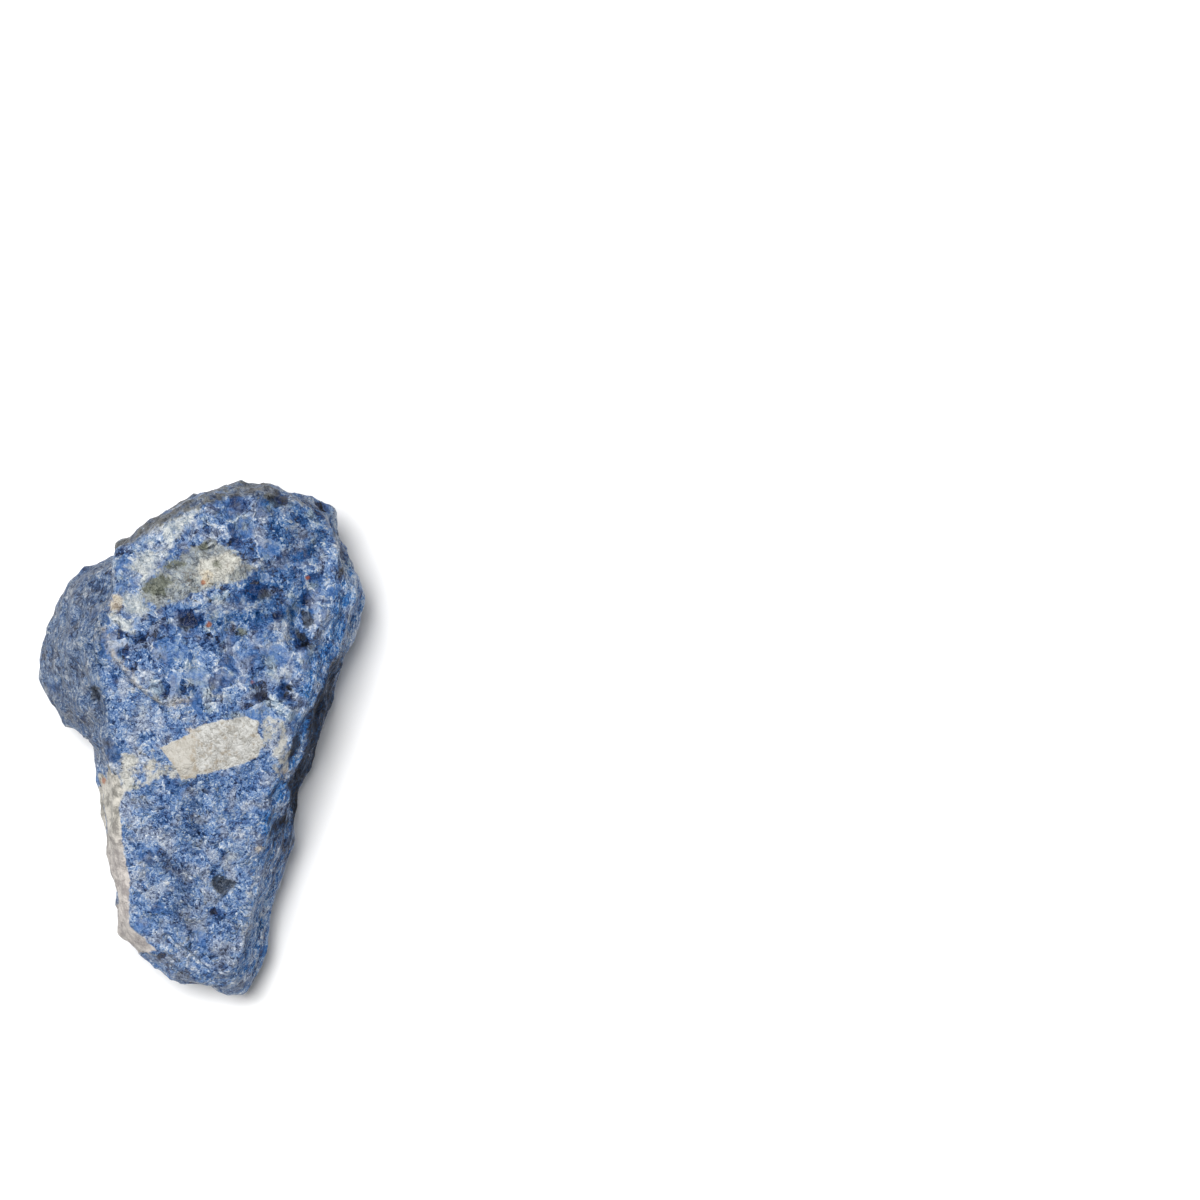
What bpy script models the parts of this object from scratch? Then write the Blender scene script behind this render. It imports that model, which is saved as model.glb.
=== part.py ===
"""Rough sodalite: one broken, angular stone, lying on a small flat spot of its underside.

The stone is built the way a broken rock is shaped. Four convex lumps, each the hull of its own corners,
are joined into one body. Conchoidal scars are scooped out of its edges. The skin is then remeshed to an
even size and pushed in and out by a chipped relief, and the lowest tip is sliced off flat at Z = 0.

Metres, +Z up. +Y runs to the blunt end of the stone, and +Z faces out of its broad broken face.
"""

import bmesh
import bpy
import mathutils
import numpy as np

# Driving dimensions
LENGTH = 0.072
CORNER_GRID = LENGTH / 72  # the corners, scars and furrows below are counted in this unit
SKIN_VOXEL = 0.5 * CORNER_GRID
EDGE_ROUNDING = 2  # smoothing passes over the fresh skin
FACET_COUNT = 9400
REST_SPOT_Z = 0.0

# Corners of each lump: x, y, z in units of CORNER_GRID
CAP_FACE = [
    (-14.8, 12.1, 25.2), (-14.6, 15.3, 25.2), (-13.2, 18.2, 24.9), (-12.2, 22.5, 24.2),
    (-10.1, 27.0, 23.2), (-3.3, 32.1, 22.0), (2.4, 34.4, 21.6), (9.0, 34.8, 21.2), (17.6, 32.0, 20.4),
    (19.4, 24.6, 22.0), (17.6, 18.4, 23.6), (15.2, 13.0, 24.6), (14.4, 10.5, 24.8), (13.0, 5.8, 25.0),
    (12.3, -1.5, 24.7), (-4.3, 4.8, 25.6), (-9.5, 8.0, 25.4), (0.0, 16.0, 26.0),
]
CAP_SIDES = [
    (19.0, 12.6, 20.0), (16.5, 5.7, 20.8), (14.6, 0.5, 20.8), (20.3, 15.5, 8.0), (19.1, 8.2, 6.5),
    (17.1, 3.9, 6.2), (13.4, -7.4, 6.4), (20.8, 24.4, 10.0), (19.9, 29.0, 10.5), (18.5, 32.7, 11.5),
    (13.9, 35.3, 12.5), (4.5, 36.0, 13.5), (-2.9, 34.1, 14.0), (-11.8, 28.3, 14.0), (-12.6, 25.0, 13.0),
    (-14.0, 13.0, 11.0),
]
CAP_UNDERSIDE = [
    (-8.0, 24.0, 5.2), (2.0, 29.0, 5.6), (12.0, 27.0, 5.4), (16.5, 16.0, 3.6), (13.5, 2.0, 3.0),
    (-5.0, 6.0, -0.7), (-2.0, 11.2, -0.7), (3.8, 12.0, -0.7), (7.2, 7.4, -0.7), (5.8, 0.2, -0.7),
    (-3.0, -0.6, -0.7),
]
LOBE = [
    (22.9, 21.5, 10.5), (22.7, 19.9, 10.0), (21.6, 16.0, 9.0), (20.8, 24.4, 11.5), (21.2, 20.8, 18.5),
    (20.2, 16.6, 18.5), (20.0, 23.4, 18.8), (18.6, 11.0, 19.0), (18.4, 18.4, 22.8), (15.6, 13.5, 23.6),
    (18.8, 22.5, 21.8), (10.0, 18.0, 20.0), (10.0, 18.0, 6.0), (17.0, 10.0, 7.5), (18.0, 17.0, 4.5),
    (16.0, 9.0, 17.0),
]
FLANK = [
    (-15.6, -0.6, 9.5), (-19.5, 3.9, 9.0), (-22.7, 6.8, 9.0), (-23.4, 8.9, 9.2), (-22.7, 11.6, 9.5),
    (-18.9, 22.2, 11.2), (-16.5, 24.5, 12.0), (-12.0, 26.6, 12.5), (-17.8, 20.5, 17.8),
    (-19.6, 11.5, 16.0), (-19.4, 8.2, 15.6), (-16.6, 3.5, 16.5), (-15.0, 22.9, 17.2),
    (-12.0, 25.0, 19.0), (-12.7, 20.5, 22.4), (-14.2, 16.8, 23.0), (-15.9, 14.2, 22.4),
    (-15.2, 10.5, 23.4), (-14.0, 7.5, 23.6), (-13.4, 3.6, 23.0), (-9.0, 12.0, 23.2), (-6.0, 20.0, 22.5),
    (-5.0, 2.0, 22.5), (-15.0, 5.0, 4.5), (-17.0, 12.0, 4.8), (-13.0, 20.0, 5.5), (-6.0, 4.0, 1.0),
    (-6.0, 18.0, 3.0),
]
TAIL_FACE = [
    (-14.4, 9.8, 23.9), (-13.5, 4.5, 23.7), (-12.9, 0.5, 23.2), (-11.9, -3.8, 22.6), (-9.5, 8.1, 24.4),
    (2.0, 6.5, 25.2), (11.6, -0.5, 24.6), (-1.0, -2.0, 24.7), (-1.2, -14.0, 22.0), (-11.4, -14.7, 20.2),
    (-10.4, -19.3, 19.1), (-10.3, -22.7, 18.1), (-10.0, -25.6, 17.2), (-8.3, -27.0, 16.9),
    (-3.4, -28.9, 16.9), (-1.2, -30.7, 16.4), (0.8, -32.4, 15.9), (3.6, -32.9, 15.5),
    (10.2, -4.5, 23.9), (8.9, -8.5, 22.9), (7.2, -18.5, 20.3), (6.4, -24.9, 18.4), (5.9, -29.2, 16.9),
]
TAIL_SIDES = [
    (13.0, 5.8, 24.6), (16.3, 5.0, 20.0), (17.1, 3.9, 6.2), (15.2, -0.1, 6.0), (12.3, -13.8, 6.5),
    (11.4, -17.5, 7.0), (9.9, -23.5, 7.0), (7.1, -31.9, 7.0), (5.9, -35.2, 7.5), (5.0, -36.1, 7.8),
    (-4.8, -33.5, 11.5), (-7.9, -31.4, 11.5), (-10.2, -28.7, 10.5), (-11.4, -26.3, 9.0),
    (-14.4, -9.4, 9.5), (-15.2, -4.2, 9.5), (-15.7, -0.5, 9.5),
]
TAIL_UNDERSIDE = [
    (-8.6, -4.0, 2.6), (9.0, -5.0, 2.8), (4.0, -14.0, 3.0), (-4.0, -15.0, 3.6), (-5.0, 6.0, -0.7),
    (7.0, 7.0, -0.7), (5.8, 0.2, -0.7), (-3.0, -0.6, -0.7), (4.5, -29.0, 4.8), (-5.0, -27.0, 5.6),
]

# Conchoidal scars: centre of the scooping ball and its radius, in units of CORNER_GRID
SCARS = {
    "scar_left_waist": ((-29.4, -17.5, 9.0), 16.2),
    "scar_right_waist": ((28.4, -10.5, 15.0), 17.0),
    "scar_toe_edge": ((-0.8, -42.9, 11.0), 9.2),
    "scar_top_left": ((-11.2, 39.6, 13.0), 10.0),
    "scar_under_blunt_end": ((4.0, 44.0, -12.0), 21.5),
    "scar_under_right": ((31.0, 4.0, -14.0), 22.0),
    "scar_under_flank": ((-33.0, 14.0, -11.0), 22.0),
    "scar_under_tail": ((7.0, -34.0, -19.0), 21.5),
}

# Furrows and ridges of the upper faces, in plan: from, to and half width in units of CORNER_GRID, and
# height in metres
FURROWS = {
    "lower_face_groove": ((-1.3, -5.5), (-1.3, -15.5), 2.6, -0.0007),
    "lower_face_ridge": ((-1.2, -19.5), (-1.0, -24.5), 2.4, 0.0005),
    "toe_crack": ((-5.2, -27.6), (0.8, -32.6), 0.9, -0.0006),
    "flank_fold": ((-14.0, 17.4), (-16.2, 14.0), 1.5, 0.0008),
    "flank_fold_lower": ((-16.2, 14.0), (-14.4, 8.4), 1.5, 0.0008),
    "flank_pit": ((-15.4, 6.9), (-15.2, 6.4), 1.5, -0.0012),
    "cap_scallop": ((-2.6, 17.2), (-1.6, 17.6), 3.2, -0.0006),
    "cap_pit_right": ((13.4, 14.2), (14.2, 18.4), 1.8, -0.0008),
    "cap_pit_low": ((9.6, 6.8), (12.2, 6.5), 1.9, -0.0007),
}

# Chipped relief: (size of a chip in units of CORNER_GRID, depth in metres)
CHIPS = [(9.0, 0.00062), (4.4, 0.00046), (2.3, 0.00018)]
BROAD_FACE_CALM = 0.4  # share of the chipping that is missing from the broad faces on top
CHIP_STEEPNESS = 2.6
CHIP_LEVEL = 0.45  # sinks the bowls so that the relief goes in as far as it comes out
REST_CLEARANCE = 2.0 * CORNER_GRID  # the chipping fades out over this height above the rest spot

# One jittered lattice serves every size of chip
LATTICE = 32
SEEDS = np.random.default_rng(4).random((LATTICE, LATTICE, LATTICE, 3))


def lump(name, corners, helpers):
    """A convex lump: the hull of its corners."""
    mesh = bmesh.new()
    for corner in corners:
        mesh.verts.new([coordinate * CORNER_GRID for coordinate in corner])
    hull = bmesh.ops.convex_hull(mesh, input=mesh.verts)
    left_inside = set(hull["geom_interior"] + hull["geom_unused"])
    bmesh.ops.delete(mesh, geom=[corner for corner in mesh.verts if corner in left_inside], context="VERTS")
    bmesh.ops.recalc_face_normals(mesh, faces=mesh.faces)
    return helper_object(name, mesh, helpers)


def scoop(name, centre, radius, helpers):
    """The ball that a conchoidal scar is scooped out with."""
    mesh = bmesh.new()
    bmesh.ops.create_icosphere(mesh, subdivisions=4, radius=radius * CORNER_GRID)
    bmesh.ops.translate(mesh, verts=mesh.verts, vec=[coordinate * CORNER_GRID for coordinate in centre])
    return helper_object(name, mesh, helpers)


def helper_object(name, mesh, helpers):
    data = bpy.data.meshes.new(name)
    mesh.to_mesh(data)
    mesh.free()
    helper = bpy.data.objects.new(name, data)
    helper.hide_render = True
    helper.display_type = "WIRE"
    helpers.objects.link(helper)
    return helper


def apply_modifier(target, kind, **settings):
    """Adds one modifier to the object and makes its result the object's own mesh."""
    modifier = target.modifiers.new(kind.title(), kind)
    for setting, value in settings.items():
        setattr(modifier, setting, value)
    graph = bpy.context.evaluated_depsgraph_get()
    shaped = bpy.data.meshes.new_from_object(target.evaluated_get(graph))
    target.modifiers.clear()
    target.data = shaped


def seed_of(cell, salt):
    """Three repeatable random numbers in 0..1 for every whole-numbered cell of the lattice."""
    column, row, layer = np.mod(cell.astype(int) + salt, LATTICE).T
    return SEEDS[column, row, layer]


def chipped(points, size, salt):
    """Relief from -1 to 1 made of scallops.

    Each cell of a jittered lattice holds one tilted bowl. At every point the lowest bowl shows, which
    leaves sharp crests between the bowls.
    """
    turn = mathutils.Euler((0.6 * salt, 0.9 * salt, 0.3 * salt)).to_matrix()
    scaled = points @ np.array(turn) / size
    base = np.floor(scaled)
    lowest = np.full(len(points), np.inf)
    for step in np.ndindex(3, 3, 3):
        cell = base + np.array(step) - 1
        away = scaled - cell - seed_of(cell, salt)
        tilt = seed_of(cell, salt + 1) - 0.5
        lowest = np.minimum(lowest, (tilt * away).sum(axis=1) + (away * away).sum(axis=1))
    return np.clip(lowest * CHIP_STEEPNESS - CHIP_LEVEL, -1, 1)


def furrowed(points, normals):
    """Height of the furrows and ridges: a smooth bump around each one's line, on skin that faces up."""
    height = np.zeros(len(points))
    for start, end, half_width, tallest in FURROWS.values():
        start, end = np.array(start) * CORNER_GRID, np.array(end) * CORNER_GRID
        along = np.clip((points[:, :2] - start) @ (end - start) / ((end - start) @ (end - start)), 0, 1)
        away = np.linalg.norm(points[:, :2] - start - along[:, None] * (end - start), axis=1)
        height += tallest * np.clip(1 - (away / (half_width * CORNER_GRID)) ** 2, 0, 1) ** 2
    return height * np.clip(normals[:, 2] * 2, 0, 1)


def read_points(target, attribute):
    numbers = np.empty(len(target.data.vertices) * 3)
    target.data.vertices.foreach_get(attribute, numbers)
    return numbers.reshape(-1, 3)


def write_points(target, points):
    target.data.vertices.foreach_set("co", points.ravel())
    target.data.update()


def roughen(target):
    """Pushes the skin in and out along its normals by furrows and chips, but not where it rests."""
    points, normals = read_points(target, "co"), read_points(target, "normal")
    chips = [
        reach * chipped(points, size * CORNER_GRID, 7 * number)
        for number, (size, reach) in enumerate(CHIPS, start=1)
    ]
    calm = 1 - BROAD_FACE_CALM * np.clip(normals[:, 2], 0, 1)
    clear_of_rest = np.clip(points[:, 2] / REST_CLEARANCE, 0, 1)
    depth = (sum(chips) * calm + furrowed(points, normals)) * clear_of_rest
    write_points(target, points + normals * depth[:, None])


def fit_to_length(target):
    """Scales the skin to the stone's length, and stands the middle of its bounding box over the origin."""
    points = read_points(target, "co")
    points *= LENGTH / np.ptp(points[:, 1])
    points[:, :2] -= (points[:, :2].min(axis=0) + points[:, :2].max(axis=0)) / 2
    write_points(target, points)


def slice_rest_spot(target):
    """Slices off everything under Z = 0 and closes the cut: this is the flat spot that it rests on."""
    mesh = bmesh.new()
    mesh.from_mesh(target.data)
    everything = mesh.verts[:] + mesh.edges[:] + mesh.faces[:]
    spot = {"plane_co": (0, 0, REST_SPOT_Z), "plane_no": (0, 0, 1)}
    cut = bmesh.ops.bisect_plane(mesh, geom=everything, dist=1e-7, clear_inner=True, **spot)
    rim = [item for item in cut["geom_cut"] if isinstance(item, bmesh.types.BMEdge)]
    bmesh.ops.contextual_create(mesh, geom=rim)
    bmesh.ops.triangulate(mesh, faces=[face for face in mesh.faces if len(face.verts) > 4])
    bmesh.ops.recalc_face_normals(mesh, faces=mesh.faces)
    mesh.to_mesh(target.data)
    mesh.free()


def sodalite_material():
    material = bpy.data.materials.new("sodalite")
    material.use_nodes = True
    shader = material.node_tree.nodes["Principled BSDF"]
    shader.inputs["Base Color"].default_value = (0.085, 0.135, 0.300, 1.0)
    shader.inputs["Roughness"].default_value = 0.5
    return material


def joined_lumps(helpers):
    """The stone as one body of plain lumps, with the scars scooped out of it."""
    cap = lump("lump_cap", CAP_FACE + CAP_SIDES + CAP_UNDERSIDE, helpers)
    flank = lump("lump_flank", FLANK, helpers)
    tail = lump("lump_tail", TAIL_FACE + TAIL_SIDES + TAIL_UNDERSIDE, helpers)
    lobe = lump("lump_lobe", LOBE, helpers)
    stone = bpy.data.objects.new("sodalite_stone", cap.data)
    own = bpy.data.collections.new("rough_sodalite")
    bpy.context.scene.collection.children.link(own)
    own.objects.link(stone)
    for other in (flank, tail, lobe):
        apply_modifier(stone, "BOOLEAN", operation="UNION", solver="EXACT", object=other)
    for name, (centre, radius) in SCARS.items():
        ball = scoop(name, centre, radius, helpers)
        apply_modifier(stone, "BOOLEAN", operation="DIFFERENCE", solver="EXACT", object=ball)
    return stone


def sodalite_stone(helpers):
    """The finished stone: an even skin, roughened, thinned to its facets, and sliced where it rests."""
    stone = joined_lumps(helpers)
    apply_modifier(stone, "REMESH", mode="VOXEL", voxel_size=SKIN_VOXEL)
    apply_modifier(stone, "SMOOTH", factor=0.5, iterations=EDGE_ROUNDING)
    roughen(stone)
    faces = sum(len(face.vertices) - 2 for face in stone.data.polygons)
    apply_modifier(stone, "DECIMATE", ratio=FACET_COUNT / faces)
    fit_to_length(stone)
    slice_rest_spot(stone)
    stone.data.name = "sodalite_stone"
    stone.data.materials.clear()
    stone.data.materials.append(sodalite_material())


def clear_scene():
    for old in list(bpy.data.objects):
        bpy.data.objects.remove(old, do_unlink=True)


def main():
    clear_scene()
    bpy.context.scene.unit_settings.system = "METRIC"
    helpers = bpy.data.collections.new("helpers")
    bpy.context.scene.collection.children.link(helpers)
    helpers.hide_render = True
    sodalite_stone(helpers)


main()
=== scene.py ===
# %% [markdown]
# # A piece of rough sodalite
#
# Sodalite is a deep blue mineral that grows as a mass of tangled grains. Rough sodalite is broken out
# of the rock with a hammer. Its faces are fractures: flat from afar, but made of small broken grains of
# 0.3 to 4 mm, each with its own blue. White feldspar runs through the blue as laths and veins.
#
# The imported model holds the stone's solid, with its lumps, ledges and scars. This lesson gives that
# solid a skin: first a fine mesh with every grain and pit in it, then a material that colours the
# grains.

import itertools
import math

import bpy
import numpy as np
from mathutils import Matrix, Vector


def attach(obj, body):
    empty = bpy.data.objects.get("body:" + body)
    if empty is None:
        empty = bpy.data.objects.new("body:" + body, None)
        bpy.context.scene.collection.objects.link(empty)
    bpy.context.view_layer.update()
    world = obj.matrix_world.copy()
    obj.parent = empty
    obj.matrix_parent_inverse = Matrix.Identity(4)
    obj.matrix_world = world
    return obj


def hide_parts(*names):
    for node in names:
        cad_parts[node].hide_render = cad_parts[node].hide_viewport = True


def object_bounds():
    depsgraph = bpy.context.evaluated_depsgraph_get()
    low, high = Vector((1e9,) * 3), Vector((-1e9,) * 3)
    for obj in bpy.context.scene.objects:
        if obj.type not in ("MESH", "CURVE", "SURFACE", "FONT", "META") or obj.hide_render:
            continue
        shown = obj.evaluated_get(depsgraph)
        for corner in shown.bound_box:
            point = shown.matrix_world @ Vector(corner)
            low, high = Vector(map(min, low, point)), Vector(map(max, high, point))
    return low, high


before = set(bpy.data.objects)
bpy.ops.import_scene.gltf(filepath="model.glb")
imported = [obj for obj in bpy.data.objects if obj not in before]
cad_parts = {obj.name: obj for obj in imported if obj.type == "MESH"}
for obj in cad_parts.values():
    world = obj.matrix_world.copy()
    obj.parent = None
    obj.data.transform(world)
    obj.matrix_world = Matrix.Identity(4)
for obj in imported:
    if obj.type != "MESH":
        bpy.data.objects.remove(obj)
cad_low, cad_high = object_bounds()
solid_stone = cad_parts["sodalite_stone"]
print("solid stone, mm:", [round(1000 * side, 1) for side in cad_high - cad_low])

# %% [markdown]
# ## The camera
#
# The stone lies on its flat spot, and the photographer stands over it and looks straight down. A long
# lens from 2.4 m keeps the outline almost free of perspective. The stone lies left of and below the
# middle of the picture, so the camera hangs to its right instead of being turned or shifted.

# %% Camera
FRAME_WIDTH = 0.168  # metres of table that the picture is wide
EYE = (0.0557, 0.0195)  # the middle of the picture, in the stone's plan
EYE_HEIGHT = 2.4
OUTLINE_HEIGHT = 0.009  # the stone is widest at this height
SENSOR = 36.0

camera_data = bpy.data.cameras.new("camera")
camera_data.sensor_width = SENSOR
camera_data.lens = SENSOR * (EYE_HEIGHT - OUTLINE_HEIGHT) / FRAME_WIDTH
camera_data.clip_end = 10.0
camera = bpy.data.objects.new("camera", camera_data)
camera.location = (*EYE, EYE_HEIGHT)
bpy.context.scene.collection.objects.link(camera)
bpy.context.scene.camera = camera
print("lens, mm:", round(camera_data.lens))

# %% [markdown]
# ## A fine skin for the stone
#
# The solid has about nine thousand triangles, far too few for grains of a millimetre. The skin could be
# the solid subdivided, but that keeps the solid's uneven triangles. A ball made of six square grids has
# even squares all over and no poles, and it is dropped onto the solid from all sides.

# %% A ball made of six square grids
SQUARES = 128  # along each side of the six grids: 196,608 triangles in all


def six_grid_ball(squares):
    """Points and four-sided faces of a unit ball.

    A grid has two parameters, u and v, from -1 to 1. The point (tan(u * pi / 4), tan(v * pi / 4), 1)
    lies on the top of a cube, and dividing it by its own length moves it onto the ball. The tangents
    keep the squares even. The other five grids are the same one, turned. Points on the seams are
    shared.
    """
    across = np.tan(np.linspace(-1, 1, squares + 1) * math.pi / 4)
    u, v = np.meshgrid(across, across, indexing="ij")
    grid = np.stack([u, v, np.ones_like(u)], axis=-1).reshape(-1, 3)
    grid /= np.linalg.norm(grid, axis=1, keepdims=True)
    x, y, z = grid.T
    sides = [(x, y, z), (x, -y, -z), (x, z, -y), (x, -z, y), (z, y, -x), (-z, y, x)]
    points = np.concatenate([np.stack(side, axis=1) for side in sides])
    first = (np.arange(squares)[:, None] * (squares + 1) + np.arange(squares)).ravel()
    square = np.stack([first, first + squares + 1, first + squares + 2, first + 1], axis=1)
    faces = np.concatenate([square + number * len(grid) for number in range(6)])
    rounded = np.round(points, 6) + 0.0
    _, kept, index = np.unique(rounded, axis=0, return_index=True, return_inverse=True)
    return points[kept], index.reshape(-1)[faces]


ball_points, ball_faces = six_grid_ball(SQUARES)
print("ball:", len(ball_points), "points,", len(ball_faces), "squares")

# %% [markdown]
# Each point of the ball is dropped straight towards the stone's middle until it meets the solid. The
# stone is far longer than it is thick, so the drop is made round a copy of the solid that is stretched
# to fill a cube. There the ball's normals point straight away from the middle, and a Shrinkwrap
# modifier that projects along them meets every face once, without folds. Then smoothing and pulling
# back onto the solid, several times over, evens out the squares.

# %% Drop the ball onto the solid
HEADROOM = 2.0  # radius of the ball round the stretched copy, whose box runs from -1 to 1
EVENING_ROUNDS = 5

middle = (np.array(cad_low) + np.array(cad_high)) / 2
half_sides = (np.array(cad_high) - np.array(cad_low)) / 2


def read_vectors(data, name="co"):
    """A mesh's points ("co") or normals ("normal") as one array, a row to each."""
    numbers = np.empty(len(data.vertices) * 3, np.float32)
    data.vertices.foreach_get(name, numbers)
    return numbers.reshape(-1, 3).astype(float)


def write_points(data, places):
    """Moves the mesh's points to these places."""
    data.vertices.foreach_set("co", places.astype(np.float32).ravel())
    data.update()


def with_modifiers(obj, *steps):
    """Where some modifiers, given as (kind, settings), would put the object's points."""
    for kind, settings in steps:
        modifier = obj.modifiers.new(kind.lower(), kind)
        for name, value in settings.items():
            setattr(modifier, name, value)
    changed = obj.evaluated_get(bpy.context.evaluated_depsgraph_get())
    places = read_vectors(changed.to_mesh())
    changed.to_mesh_clear()
    obj.modifiers.clear()
    return places


def dropped_onto(solid, ball_points, ball_faces):
    """The ball's mesh on the solid's surface."""
    data = bpy.data.meshes.new("sodalite_skin")
    data.from_pydata(ball_points * HEADROOM, [], ball_faces)
    skin = bpy.data.objects.new("sodalite_skin", data)
    in_cube = bpy.data.objects.new("in_cube", solid.data.copy())
    for obj in (skin, in_cube):
        bpy.context.scene.collection.objects.link(obj)
    write_points(in_cube.data, (read_vectors(in_cube.data) - middle) / half_sides)
    inwards = {
        "target": in_cube, "wrap_method": "PROJECT",
        "use_negative_direction": True, "use_positive_direction": False}
    write_points(data, with_modifiers(skin, ("SHRINKWRAP", inwards)) * half_sides + middle)
    bpy.data.objects.remove(in_cube)
    even = [("SMOOTH", {"iterations": 3, "factor": 0.5}), ("SHRINKWRAP", {"target": solid})]
    even *= EVENING_ROUNDS
    write_points(data, with_modifiers(skin, *even, ("SMOOTH", {"iterations": 2, "factor": 0.5})))
    return skin


skin = dropped_onto(solid_stone, ball_points, ball_faces)
mesh = skin.data
points = read_vectors(mesh) * 1000  # from here on, lengths in the arrays are in millimetres
normals = read_vectors(mesh, "normal")
ends = np.empty(len(mesh.edges) * 2, np.int32)
mesh.edges.foreach_get("vertices", ends)
ends = ends.reshape(-1, 2)
edge_lengths = np.linalg.norm(points[ends[:, 0]] - points[ends[:, 1]], axis=1)
print("edges, mm: middle %.2f, longest %.2f" % (np.median(edge_lengths), edge_lengths.max()))

# %% [markdown]
# ## Which way the faces look
#
# The stone's colours depend on its faces: the top is a fresh break, the sides are worn, and the
# underside is out of sight. The normals of the fine mesh are too jumpy to tell these apart, so they are
# averaged with their neighbours' many times first. The average is one array operation over all the
# edges.

# %% Smoothed normals
BROAD_ROUNDS = 18  # of averaging


def spread(values, rounds):
    """Values at the points, each replaced round after round by the mean of itself and its neighbours."""
    count = np.bincount(ends.ravel(), minlength=len(values))
    shape = (-1,) + (1,) * (values.ndim - 1)
    for _ in range(rounds):
        total = np.zeros_like(values)
        np.add.at(total, ends[:, 0], values[ends[:, 1]])
        np.add.at(total, ends[:, 1], values[ends[:, 0]])
        values = (values + total / count.reshape(shape)) / 2
    return values


def ease(low, high, values):
    """Zero up to low, one from high on, and a smooth S between them: 3 t squared less 2 t cubed.

    With low above high it falls instead of rising.
    """
    t = np.clip((values - low) / (high - low), 0, 1)
    return t * t * (3 - 2 * t)


broad_normals = spread(normals, BROAD_ROUNDS)
broad_normals /= np.linalg.norm(broad_normals, axis=1, keepdims=True)
looks_up = broad_normals[:, 2]
underside = ease(0.05, -0.25, looks_up)
print("share of points on the underside: %.2f" % underside.mean())

# %% [markdown]
# ## The map of the stone
#
# Everything that lies in one place on the stone, such as the white vein, is laid out on a map: the
# stone as the camera sees it, in millimetres from its origin, x to the right and y up the picture. A
# shape on the map could be cut into the mesh, but a smooth number is better: how many millimetres
# inside the shape a point is. The material can then fray its edge with noise, finer than the mesh.

# %% Distances on the map


def as_seen(places):
    """Each place moved to where the camera sees it at the height of the outline.

    The camera is a point, so a place nearer to it looks further from the middle of the picture.
    """
    under_eye = 1000 * np.array(EYE)
    nearer = (EYE_HEIGHT - OUTLINE_HEIGHT) / (EYE_HEIGHT - places[:, 2] / 1000)
    return under_eye + (places[:, :2] - under_eye) * nearer[:, None]


seen = as_seen(points)
map_x, map_y = seen.T
DEEPEST = 3.0  # millimetres: fields are cut off here, in and out
FAR_OUT = 2 * DEEPEST  # taken off a field, this puts every point outside the mark


def to_side(start, end):
    """Distance on the map to a straight side. The point's shadow on the side is held between its ends."""
    start, end = np.array(start, float), np.array(end, float)
    along = np.clip((seen - start) @ (end - start) / ((end - start) @ (end - start)), 0, 1)
    return np.linalg.norm(seen - start - along[:, None] * (end - start), axis=1)


def inside(corners):
    """How far inside a closed outline, in mm, and below zero outside it.

    It is the distance to the nearest side. A line to the right crosses the sides an odd number of times
    from inside.
    """
    nearest = np.full(len(seen), np.inf)
    odd = np.zeros(len(seen), bool)
    for (x0, y0), (x1, y1) in zip(corners, corners[1:] + corners[:1]):
        nearest = np.minimum(nearest, to_side((x0, y0), (x1, y1)))
        if y0 != y1:
            crossing = x0 + (map_y - y0) * (x1 - x0) / (y1 - y0)
            odd ^= ((y0 <= map_y) != (y1 <= map_y)) & (map_x < crossing)
    return np.where(odd, nearest, -nearest)


def beside(path, half_width):
    """How far inside a line of this half width, in mm."""
    return half_width - np.min([to_side(*side) for side in zip(path, path[1:])], axis=0)


def in_shards(table):
    """How far inside the nearest of some shards (x, y, width, height, turn in degrees), in mm.

    A shard is an oval with six straight cuts round it. A cut at a given angle lies where the oval's own
    tangent at that angle is, a little nearer for some cuts, and a point is as far inside as the nearest
    cut is away.
    """
    best = np.full(len(seen), -DEEPEST)
    for row, (x, y, width, height, turn) in enumerate(table):
        draw = np.random.default_rng(row)
        turned = math.radians(turn)
        cuts = turned + (np.arange(6) + draw.uniform(-0.35, 0.35, 6)) * math.tau / 6
        reach = np.hypot(width * np.cos(cuts - turned), height * np.sin(cuts - turned)) / 2
        reach *= draw.uniform(0.7, 1.05, 6)
        sides = reach - np.outer(map_x - x, np.cos(cuts)) - np.outer(map_y - y, np.sin(cuts))
        best = np.maximum(best, sides.min(axis=1))
    return best


def on_top(field):
    """The field, pushed below zero where the surface turns down, so that a mark doesn't run down a side."""
    return np.clip(field - FAR_OUT * ease(0.3, -0.1, looks_up), -DEEPEST, DEEPEST)


# %% [markdown]
# ## The parts of the map
#
# The cap is the broken face at the broad end, with the coarsest grains. A ledge parts it from the face
# below, whose grains are fine. A block of white feldspar lies across the middle, and a rind of pinkish
# feldspar runs down the left side. The right side is a long bevel. Under it is a steep wall turned away
# from the light, painted nearly black: partly dark glassy sodalite, partly painted shade.

# %% Zones and marks
# The broken face at the broad end.
CAP = [
    (-11.7, 26.7), (-12.4, 20.2), (-13.1, 17.3), (-14.4, 15), (-14.5, 11.8), (-12.4, 11), (-9.2, 7.8),
    (-7.1, 5.5), (-4, 4.7), (-1.7, 4.7), (-0.7, 3.2), (6.3, 2.7), (12.3, -1.5), (13.7, 5.5),
    (15.1, 10.6), (15.8, 13), (18.2, 18.1), (20.7, 24.3), (21, 31.7), (15.3, 33.2), (9.3, 34.7),
    (2.7, 34.1), (-0.8, 33.6), (-3, 31.8), (-6.2, 28.7), (-9.8, 26.7),
]
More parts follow.
